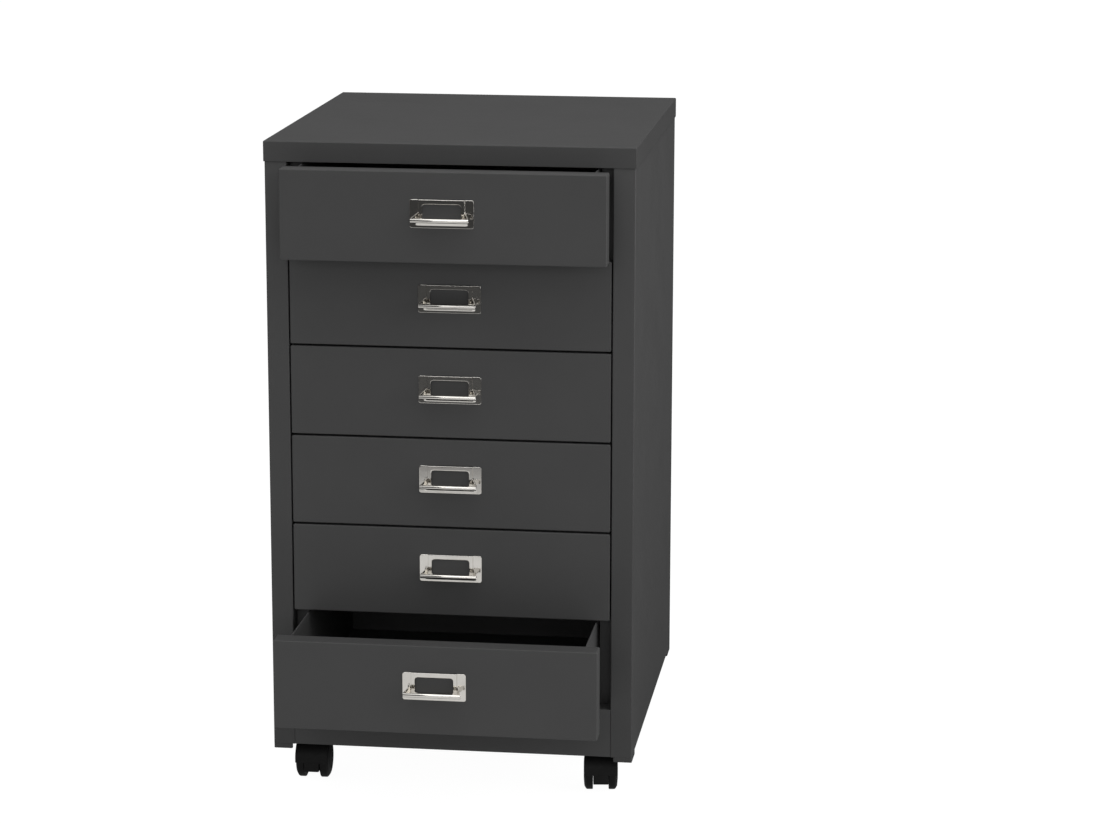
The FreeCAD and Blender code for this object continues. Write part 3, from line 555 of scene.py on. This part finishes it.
# Tab through the drawer front, bent outwards behind it
def pullTab(side):
    near, skin, start, behind = pull["tab"], pull["sheet"], pull["tabFrom"], pull["tabBehind"]
    foot = near + pull["tabFoot"]
    bent = softLine([(near, start), (near + skin, start), (near + skin, behind), (foot, behind),
                     (foot, behind + skin), (near, behind + skin)],
                    [0, 0, 0.2, 0.15, 0.15, 0.7], run=0.05)
    return carry(bent * (side, 1), -pull["tabHalf"], pull["tabHalf"], (0, 1, 2), pull["tabEdge"])


pullSkins = [pullPlate(), pullScoop(), pullBead(), pullTab(-1), pullTab(1)]
for row in range(1, drawers["count"] + 1):
    face, low = drawerPlace(row)
    middle = (0, face, low + front["height"] / 2 + pull["lift"])
    addPiece("drawer_%d_label_pull" % row, [(skin + middle, quads, ends)
                                            for skin, quads, ends in pullSkins],
             "drawer_%d_pull" % row, pull["crease"])
print("pulls made")

# Twin-wheel castors, each in its own place and turned about its own pin, in degrees
castors = {"left_front": (-148.0, -103.0, 181.0), "right_front": (148.0, -103.0, 187.0),
           "left_rear": (-148.0, 225.0, 176.0), "right_rear": (148.0, 225.0, 191.0)}
castor = {"trail": 11.0, "axleUp": 20.0, "hoodFrom": 0.0, "hoodTo": 160.0, "hoodIn": 21.2,
          "hoodOut": 23.0, "hoodHalf": 16.7, "hoodFlat": 21.3, "flatWall": 0.9,
          "hoodEdges": [0.3, 0.3, 1.1, 1.1], "webHalf": 7.7, "webIn": 0.4, "webEdge": 0.6,
          "boss": 9.5, "blend": 14.0,
          "neck": 7.5, "neckLow": 32, "neckHold": 38, "neckTop": 49.6, "neckRound": 0.5,
          "bore": 4.05, "boreLow": 35.5, "boreCut": 0.4}
# Wheel, as pairs of distance from the castor's middle and radius: its blind bore, then from
# the inner face over the tread and shoulder to the groove and the hub's cap
wheel = {"bore": [(16.2, 0.05), (16.2, 2.55)],
         "line": [(8, 2.55), (8, 20), (14.6, 20), (16.7, 16.4), (17.3, 9.9), (16.8, 9.5),
                  (16.8, 8.7), (17.35, 8.3), (17.4, 0.05)],
         "rounds": [0, 0.8, 2.4, 2.2, 0.3, 0.15, 0.15, 0.3, 0]}


# Turns a skin about a castor's pin and stands it in that castor's place
def standCastor(skin, place):
    points, quads, ends = skin
    across, back, turn = place
    turn = math.radians(turn)
    spin = np.array([[math.cos(turn), math.sin(turn), 0], [-math.sin(turn), math.cos(turn), 0],
                     [0, 0, 1]])
    return points @ spin + (across, back, 0), quads, ends


# How far a form may reach from the axle at an angle: its own radius, cut by the flat in front
def hoodReach(radius, flat, angle):
    return np.minimum(radius, flat / np.maximum(np.cos(angle), 0.01))


# Hood: a flat section of (x, radius) carried in an arc about the axle, and dropped straight
# down to the axle's height in front. Its section draws in by 0.6 mm at each end
def hoodSkin():
    half, inner, outer = castor["hoodHalf"], castor["hoodIn"], castor["hoodOut"]
    section = softLine([(-half, inner), (half, inner), (half, outer), (-half, outer)],
                       castor["hoodEdges"], run=0.1)
    ends = np.array([0, 0.25, 0.7]) / outer
    insets = np.array([0.6, 0.2, 0])
    low, high = math.radians(castor["hoodFrom"]), math.radians(castor["hoodTo"])
    plain = np.linspace(low + 0.05, high - 0.05, 41)
    turns = np.concatenate([low + ends, plain, high - ends[::-1]])
    insets = np.concatenate([insets, np.zeros(len(plain)), insets[::-1]])
    rings = np.array([inset(section, amount) if amount else section for amount in insets])
    near = hoodReach(inner, castor["hoodFlat"] - castor["flatWall"], turns)[:, None]
    far = hoodReach(outer, castor["hoodFlat"], turns)[:, None]
    radii = near + (rings[..., 1] - inner) * (far - near) / (outer - inner)
    turns = turns[:, None]
    return ringSkin(np.stack([rings[..., 0], castor["trail"] + radii * np.cos(turns),
                              castor["axleUp"] + radii * np.sin(turns)], -1))


# Web between the wheels: round the boss behind, out under the hood above, and in front level
# with the boss's underside
def webSkin():
    angle = np.radians(np.arange(-180, 180, 2.5))
    blend, high = math.radians(castor["blend"]), math.radians(castor["hoodTo"])
    reach = hoodReach(castor["hoodOut"] - castor["webIn"], castor["hoodFlat"] - castor["webIn"],
                      angle)
    level = castor["boss"] / np.maximum(-np.sin(angle), 0.01)
    under = smooth((high + blend / 2 - angle) / blend) * (angle > -np.pi / 2)
    radius = castor["boss"] + (np.minimum(reach, level) - castor["boss"]) * under
    outline = np.stack([castor["trail"] + radius * np.cos(angle),
                        castor["axleUp"] + radius * np.sin(angle)], -1)
    return carry(outline, -castor["webHalf"], castor["webHalf"], (1, 2, 0), castor["webEdge"])


# Neck with the bore that the stem stands in. The ring at 'neckHold' keeps its wall's shading
# straight
def neckSkin():
    bore, neck, top = castor["bore"], castor["neck"], castor["neckTop"]
    cut, soft = castor["boreCut"], castor["neckRound"]
    line = [(castor["boreLow"], bore), (top - cut, bore), (top, bore + cut), (top, neck - soft),
            (top - 0.3 * soft, neck - 0.3 * soft), (top - soft, neck), (castor["neckHold"], neck),
            (castor["neckLow"], neck)]
    return turnSkin(line, (2, 0, 1), (0, 0, 0))


# Six flats, cut back at both faces by a cone of 30 degrees, and a round bore with its edges
# cut if there is one
def hexSkin(radius, low, high, bore, place, coneStart=0.97, coneDepth=0.08, boreCut=0.5, count=72):
    turn = np.linspace(0, 2 * np.pi, count, endpoint=False)
    flat = radius * math.cos(math.pi / 6)
    flats = flat / np.cos(turn % (np.pi / 3) - np.pi / 6)
    depth = np.linspace(0, coneDepth, 6) * radius
    heights = np.concatenate([low + depth, high - depth[::-1]])
    cone = flat * coneStart + np.concatenate([depth, depth[::-1]]) * math.sqrt(3)
    radii = np.minimum(flats, cone[:, None])
    if bore:
        heights = np.concatenate([heights, [high, high - boreCut, low + boreCut, low]])
        inner = np.array([bore + boreCut, bore, bore, bore + boreCut])
        radii = np.vstack([radii, np.repeat(inner[:, None], count, 1)])
    rings = np.stack([radii * np.cos(turn), radii * np.sin(turn),
                      np.repeat(heights[:, None], count, 1)], -1)
    return ringSkin(rings + place, closeRows=bool(bore))


# Threaded rod: the radius falls and rises with height along a helix, with a narrow flat at
# crest and root, and tapers at its top
def threadSkin(radius, low, high, pitch, depth, place, count=48, perPitch=8):
    turn = np.linspace(0, 2 * np.pi, count, endpoint=False)
    height = np.linspace(low, high, int((high - low) / pitch * perPitch) + 1)[:, None]
    wave = np.abs((height / pitch - turn / (2 * np.pi)) % 1 * 2 - 1)
    radii = radius - depth * np.clip(1.3 * wave - 0.15, 0, 1)
    radii = np.minimum(radii, radius - depth + high - height)
    rings = np.stack([radii * np.cos(turn), radii * np.sin(turn), height + 0 * turn], -1)
    return ringSkin(rings + place)


castorSkins = [hoodSkin(), webSkin(), neckSkin()]
wheelLine = softLine(wheel["line"], wheel["rounds"], closed=False, run=0.15)
rolling, quads, ends = turnSkin(wheel["bore"] + wheelLine.tolist(), (0, 1, 2), (0, 0, 0))
stem = {"radius": 4.0, "low": 36.0, "collar": 50.0, "seat": 52.0, "top": 61.0, "hex": 8.1,
        "pitch": 1.25, "depth": 0.6, "cut": 0.5, "lap": 0.2}
nut = {"hex": 7.5, "low": 52.8, "high": 59.3, "bore": 4.05}
pin = [(stem["low"], stem["radius"] - stem["cut"]), (stem["low"] + stem["cut"], stem["radius"]),
       (stem["collar"] + stem["lap"], stem["radius"])]
nuts = []
for corner, place in castors.items():
    addPiece(corner + "_castor_hood", [standCastor(skin, place) for skin in castorSkins],
             corner + "_castor_body")
    for sign, name in ((-1, "left"), (1, "right")):
        points = (rolling + (0, castor["trail"], castor["axleUp"])) * (sign, 1, 1)
        addPiece("%s_%s_roller" % (corner, name),
                 [standCastor(outwards(points, quads, ends), place)],
                 "%s_%s_wheel" % (corner, name))
    here = (place[0], place[1], 0)
    addPiece(corner + "_threaded_stem", [
        turnSkin(pin, (2, 0, 1), here, 48),
        hexSkin(stem["hex"], stem["collar"], stem["seat"], 0, here),
        threadSkin(stem["radius"], stem["seat"] - stem["lap"], stem["top"], stem["pitch"],
                   stem["depth"], here)], corner + "_castor_stem")
    nuts.append(hexSkin(nut["hex"], nut["low"], nut["high"], nut["bore"], here))
addPiece("stem_nuts", nuts, "castor_nuts")

# Plastic shoes that hug the four lower corners, each with an upstand inside the side
shoe = {"low": 38.0, "high": 43.0, "front": 19.0, "side": 30.0, "wall": 4.0, "inset": 1.0,
        "upstand": 6.0, "upstandWall": 2.4, "rearGap": 1.8, "edge": 0.3}
shoes = []
wide, deep = cabinet["halfWide"], cabinet["depth"]
length, wall, edge = shoe["side"], shoe["wall"], shoe["edge"]
outer, inner = wide - shoe["inset"], wide - shoe["inset"] - shoe["upstandWall"]
for sign in (-1, 1):
    for rear in (False, True):
        hug = softLine([(wide, 0), (wide, length), (wide - wall, length), (wide - wall, wall),
                        (wide - shoe["front"], wall), (wide - shoe["front"], 0)],
                       [1.4, 1.2, 1.2, 0.8, 1.2, 1.2])
        end = length - shoe["rearGap"] + shoe["inset"] if rear else length
        stand = softLine([(outer, shoe["inset"]), (outer, end), (inner, end),
                          (inner, shoe["inset"])], edge, run=0.1)
        if rear:
            hug = hug * (1, -1) + (0, deep)
            stand = stand * (1, -1) + (0, deep - shoe["rearGap"] + shoe["inset"])
        for outline, low, high in ((hug, shoe["low"], shoe["high"]),
                                   (stand, shoe["high"] - edge, shoe["high"] + shoe["upstand"])):
            outline = outline * (sign, 1) + (0, cabinet["front"])
            shoes.append(carry(outline, low, high, (0, 1, 2), edge))
addPiece("corner_shoes", shoes, "corner_feet")
print("castors and shoes made")


# Camera where the photograph was taken from: a long lens, 3.4 m away, a little above
view = {"place": (0.50593, -3.25746, 1.08705), "turn": (77.6325, -0.1, 7.4448),
        "lens": 106.351, "sensor": 36.0}
camera = bpy.data.objects.new("camera", bpy.data.cameras.new("camera"))
camera.location = view["place"]
camera.rotation_euler = [math.radians(angle) for angle in view["turn"]]
camera.data.lens = view["lens"]
camera.data.sensor_width = view["sensor"]
bpy.context.scene.collection.objects.link(camera)
bpy.context.scene.camera = camera

# Studio: white paper that runs forward from under the cabinet, dark beyond it, and soft
# light from above, from beside the camera, from the right and faintly from the left
studio = {"paperFront": -1.5, "paperBack": -0.12, "paperSide": 1.3, "paperFade": 0.12,
          "floorSize": 60.0, "paperGlow": 0.97, "paperGloss": 0.7, "paperDiffuse": 0.1,
          "bounce": 0.56, "darkFloor": 0.065, "ambient": 0.6, "flagRadius": 8.0, "flagLow": 0.001,
          "flagHigh": 5.5, "flagShade": 0.012, "flagCount": 48}
# Each lamp: its place, the point it faces, its width and height in metres, and its watts
lamps = {"overhead softbox": ((0.3, -0.9, 3.2), (0, 0, 0.35), (2.6, 1.5), 27),
         "softbox beside the camera": ((0.2, -3.4, 1.3), (0, 0, 0.35), (2.2, 0.9), 18.5),
         "right fill": ((3.0, -0.1, 1.25), (0.1, 0.1, 0.35), (4.0, 2.4), 79),
         "left card": ((-3.0, -0.8, 1.25), (0, -0.1, 0.35), (2.6, 2.4), 9)}


# A soft rectangular lamp turned to face its target
def addLamp(name, place, target, size, power):
    lamp = bpy.data.objects.new(name, bpy.data.lights.new(name, "AREA"))
    lamp.data.shape = "RECTANGLE"
    lamp.data.size, lamp.data.size_y = size
    lamp.data.energy = power
    lamp.location = place
    aim = np.array(target) - np.array(place)
    flat = math.hypot(aim[0], aim[1])
    lamp.rotation_euler = (math.atan2(flat, -aim[2]), 0, math.atan2(-aim[0], aim[1]))
    bpy.context.scene.collection.objects.link(lamp)


# A surface of the studio, which is no piece of the cabinet
def addStage(name, points, faces, material):
    mesh = bpy.data.meshes.new(name)
    mesh.from_pydata(points, [], faces)
    mesh.materials.append(material)
    item = bpy.data.objects.new(name, mesh)
    bpy.context.scene.collection.objects.link(item)
    return item


# The paper glows just enough to read as white, and keeps a share of real shade. Gloss sees
# it only where the sheet lies
paper, tree = newMaterial("white paper and studio floor")
path = addNode(tree, "ShaderNodeLightPath").outputs
where = addNode(tree, "ShaderNodeSeparateXYZ", {
    0: addNode(tree, "ShaderNodeNewGeometry").outputs["Position"]}).outputs
aside = addNode(tree, "ShaderNodeMath", {0: where["X"]}, operation="ABSOLUTE")
inSide = addNode(tree, "ShaderNodeMapRange", {
    "Value": aside.outputs[0], "From Min": studio["paperSide"] + studio["paperFade"],
    "From Max": studio["paperSide"] - studio["paperFade"]})
inFront = addNode(tree, "ShaderNodeMapRange", {
    "Value": where["Y"], "From Min": studio["paperFront"] - studio["paperFade"],
    "From Max": studio["paperFront"] + studio["paperFade"]})
inBack = addNode(tree, "ShaderNodeMapRange", {
    "Value": where["Y"], "From Min": studio["paperBack"] + studio["paperFade"],
    "From Max": studio["paperBack"] - studio["paperFade"]})
along = addNode(tree, "ShaderNodeMath", {
    0: inFront.outputs[0], 1: inBack.outputs[0]}, operation="MULTIPLY")
onPaper = addNode(tree, "ShaderNodeMath", {
    0: along.outputs[0], 1: inSide.outputs[0]}, operation="MULTIPLY")
seen = addNode(tree, "ShaderNodeMath", {
    0: path["Is Camera Ray"], 1: onPaper.outputs[0]}, operation="MAXIMUM")
glows = addNode(tree, "ShaderNodeMapRange", {
    "Value": path["Is Camera Ray"], "To Min": studio["paperGloss"], "To Max": studio["paperGlow"]})
glow = addNode(tree, "ShaderNodeEmission", {"Color": (1, 1, 1, 1), "Strength": glows.outputs[0]})
sheen = addNode(tree, "ShaderNodeBsdfDiffuse", {"Color": (*(studio["paperDiffuse"],) * 3, 1)})
white = addNode(tree, "ShaderNodeAddShader", {0: glow.outputs[0], 1: sheen.outputs[0]})
dark = addNode(tree, "ShaderNodeBsdfDiffuse", {"Color": (*(studio["darkFloor"],) * 3, 1)})
shown = addNode(tree, "ShaderNodeMixShader", {0: seen.outputs[0], 1: dark.outputs[0],
                                              2: white.outputs[0]})
bounce = addNode(tree, "ShaderNodeBsdfDiffuse", {"Color": (*(studio["bounce"],) * 3, 1)})
mirrored = addNode(tree, "ShaderNodeMath", {
    0: path["Is Camera Ray"], 1: path["Is Glossy Ray"]}, operation="MAXIMUM")
direct = addNode(tree, "ShaderNodeMath", {
    0: mirrored.outputs[0], 1: path["Is Transmission Ray"]}, operation="MAXIMUM")
surface = addNode(tree, "ShaderNodeMixShader", {0: direct.outputs[0], 1: bounce.outputs[0],
                                                2: shown.outputs[0]})
addNode(tree, "ShaderNodeOutputMaterial", {"Surface": surface.outputs[0]})
far = studio["floorSize"] / 2
addStage("studio_floor", [(-far, -far, 0), (far, -far, 0), (far, far, 0), (-far, far, 0)],
         [(0, 1, 2, 3)], paper)

# Black flags all round, seen only in gloss, keep edges and steep angles dark
flags, tree = newMaterial("black studio flags")
shade = addNode(tree, "ShaderNodeEmission", {
    "Color": (1, 1, 1, 1), "Strength": studio["flagShade"]})
addNode(tree, "ShaderNodeOutputMaterial", {"Surface": shade.outputs[0]})
count = studio["flagCount"]
turns = np.linspace(0, 2 * np.pi, count, endpoint=False)
ring = np.stack([np.cos(turns), np.sin(turns)], -1) * studio["flagRadius"]
points = [np.column_stack([ring, np.full(count, studio[height])])
          for height in ("flagLow", "flagHigh")]
flagRing = addStage("studio_flags", np.vstack(points).tolist(),
                    gridFaces(2, count)[:, ::-1].tolist(), flags)
flagRing.visible_camera = flagRing.visible_diffuse = flagRing.visible_shadow = False
flagRing.visible_transmission = False

world = bpy.data.worlds.new("studio")
bpy.context.scene.world = world
world.use_nodes = True
world.node_tree.nodes.clear()
tree = world.node_tree
path = addNode(tree, "ShaderNodeLightPath").outputs
mirrored = addNode(tree, "ShaderNodeMath", {
    0: path["Is Camera Ray"], 1: path["Is Glossy Ray"]}, operation="MAXIMUM")
direct = addNode(tree, "ShaderNodeMath", {
    0: mirrored.outputs[0], 1: path["Is Transmission Ray"]}, operation="MAXIMUM")
strength = addNode(tree, "ShaderNodeMapRange", {
    "Value": direct.outputs[0], "To Min": studio["ambient"], "To Max": 1.0})
sky = addNode(tree, "ShaderNodeBackground", {
    "Color": (1, 1, 1, 1), "Strength": strength.outputs[0]})
addNode(tree, "ShaderNodeOutputWorld", {"Surface": sky.outputs[0]})

for name, setting in lamps.items():
    addLamp(name, *setting)
bpy.context.scene.view_settings.view_transform = "Standard"
print("studio and camera set")
